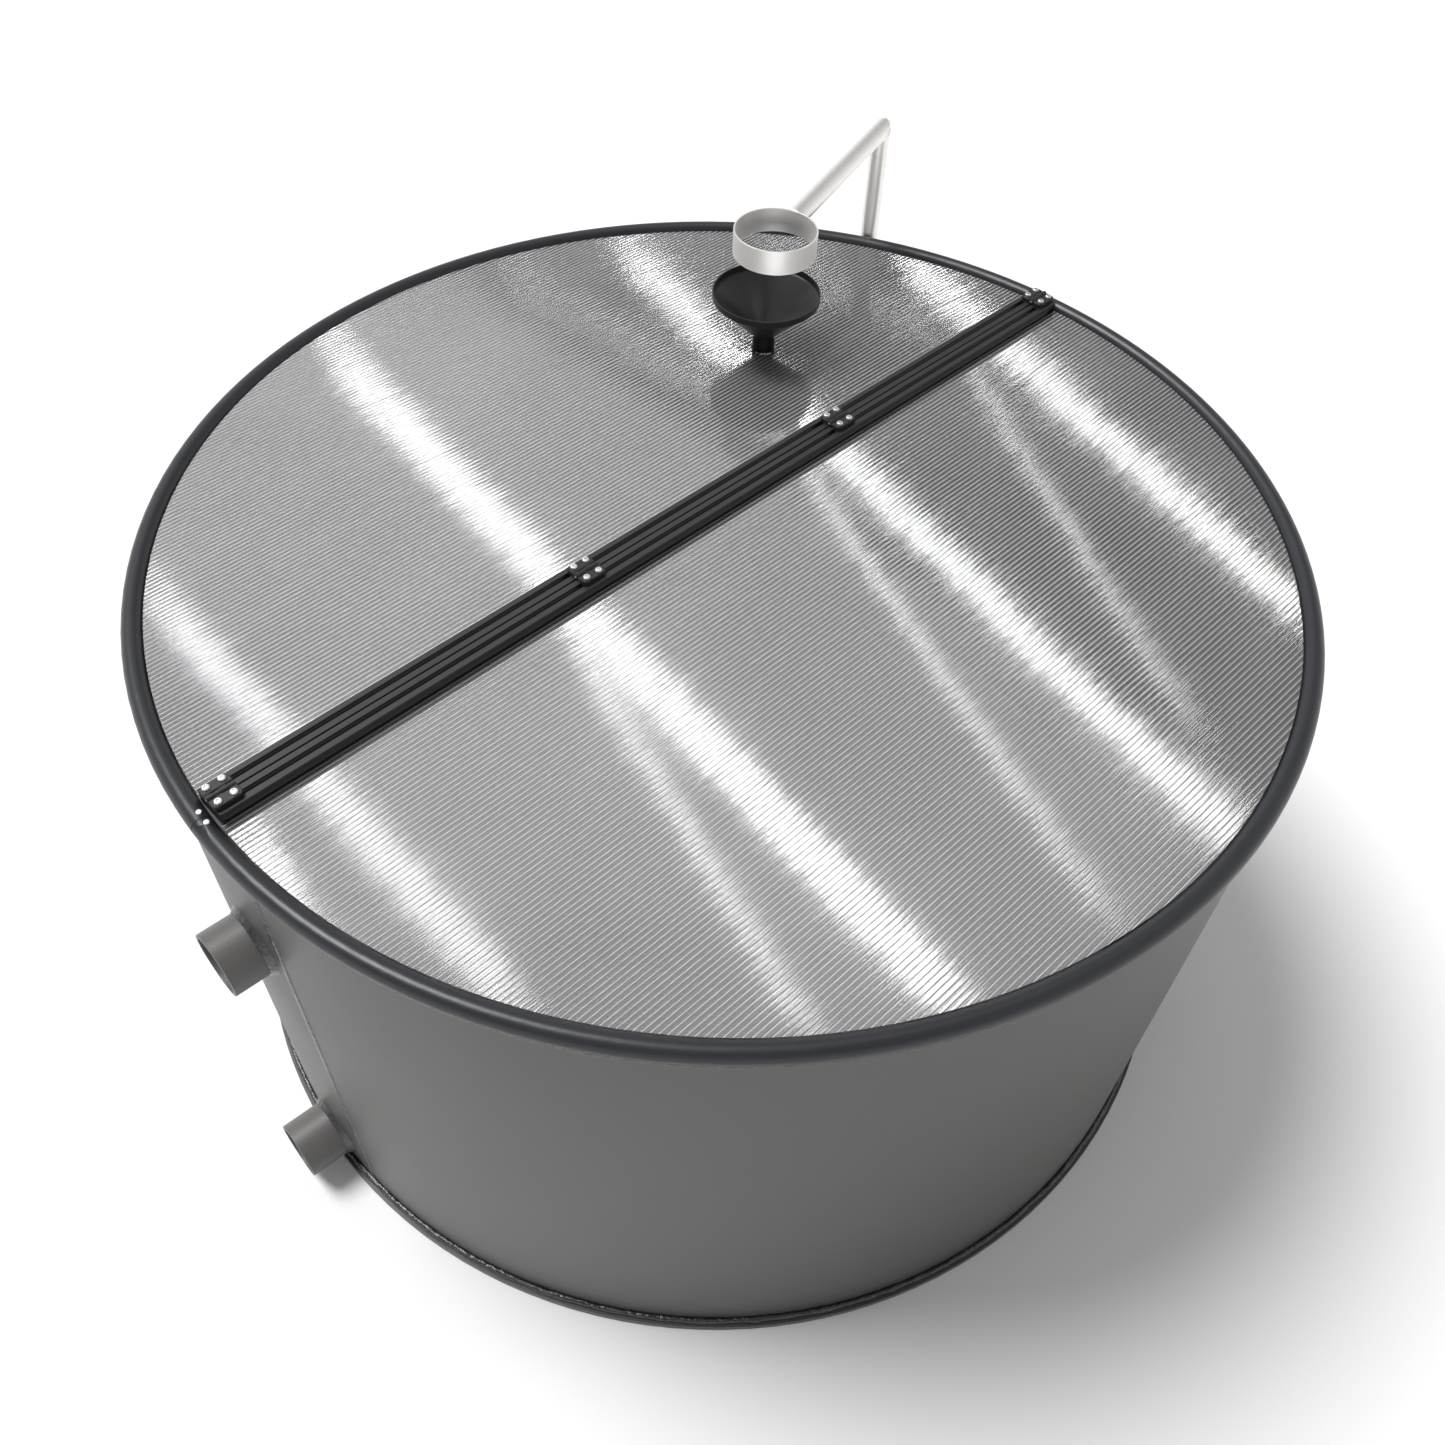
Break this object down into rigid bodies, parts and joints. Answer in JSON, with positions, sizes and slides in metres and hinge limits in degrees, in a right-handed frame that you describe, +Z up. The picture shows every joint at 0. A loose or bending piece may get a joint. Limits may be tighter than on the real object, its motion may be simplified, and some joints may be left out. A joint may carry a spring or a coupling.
{
  "type": "round tank with hinged lid",
  "caption": "Round welded plastic tank with a ribbed clear lid in two hinged halves, a funnel through the lid, a ring holder on a swing arm and pipe stubs.",
  "frame": {"origin": "centre of the base plate's underside, where the tank stands on the floor", "axes": "+Z up along the tank's axis; +X along the hinge bar, towards the side with the post; -Y towards the half of the lid that opens"},
  "size_m": [1.366, 1.32, 0.8865],
  "materials": {
    "tank_plastic": "satin, dark grey sheet",
    "rim_plastic": "smooth, nearly black",
    "weld_plastic": "glossy welding rod",
    "clear_sheet": "clear ribbed hollow sheet",
    "black_aluminium": "black anodised",
    "strip_aluminium": "mill finish",
    "hinge_nylon": "moulded, fine grain",
    "screw_steel": "bright zinc",
    "stainless": "brushed along the tube",
    "cap_plastic": "moulded",
    "socket_plastic": "machined, satin",
    "funnel_plastic": "moulded, half gloss"
  },
  "bodies": {
    "tank": {"base_plate": "tank_plastic", "base_weld": "weld_plastic", "inner_base_weld": "weld_plastic", "wall_shell": "tank_plastic", "wall_seam": "weld_plastic", "rim_bead": "rim_plastic", "rim_weld": "weld_plastic", "rim_screws": "screw_steel", "lid_ledge": "tank_plastic", "ledge_weld": "weld_plastic", "upper_stub": "tank_plastic", "upper_stub_weld": "weld_plastic", "lower_stub": "tank_plastic", "lower_stub_weld": "weld_plastic", "back_sheet": "clear_sheet", "bar_fixing_screws": "screw_steel", "bar_fixing_nuts": "screw_steel", "hinge_pins": "screw_steel", "upper_post_socket": "socket_plastic", "lower_post_socket": "socket_plastic", "socket_welds": "weld_plastic", "back_profile": "black_aluminium", "back_end_caps": "cap_plastic", "back_sheet_strip": "strip_aluminium", "back_strip_screws": "screw_steel", "back_strip_nuts": "screw_steel", "back_hinge_screws": "screw_steel", "back_hinge_nuts": "screw_steel", "back_hinge_leaf_1": "hinge_nylon", "back_hinge_leaf_2": "hinge_nylon", "back_hinge_leaf_3": "hinge_nylon", "back_hinge_leaf_4": "hinge_nylon"},
    "front_lid": {"front_sheet": "clear_sheet", "front_profile": "black_aluminium", "front_end_caps": "cap_plastic", "front_sheet_strip": "strip_aluminium", "front_strip_screws": "screw_steel", "front_strip_nuts": "screw_steel", "front_hinge_screws": "screw_steel", "front_hinge_nuts": "screw_steel", "front_hinge_leaf_1": "hinge_nylon", "front_hinge_leaf_2": "hinge_nylon", "front_hinge_leaf_3": "hinge_nylon", "front_hinge_leaf_4": "hinge_nylon"},
    "swing_arm": {"post_tube": "stainless", "post_plug": "cap_plastic", "arm_tube": "stainless", "holder_ring": "stainless"},
    "funnel": {"funnel": "funnel_plastic"}
  },
  "joints": [
    {"name": "lid_hinge", "type": "hinge", "parent": "tank", "child": "front_lid", "pos_m": [0, 0.038, 0.7398], "axis": [-1, 0, 0], "range_deg": [0, 110]},
    {"name": "arm_swing", "type": "hinge", "parent": "tank", "child": "swing_arm", "pos_m": [0.59492, 0.321, 0.6], "axis": [0, 0, 1], "range_deg": [-150, 0]},
    {"name": "funnel_lift", "type": "slide", "parent": "tank", "child": "funnel", "axis": [0, 0, 1], "range_m": [0, 0.045]}
  ]
}
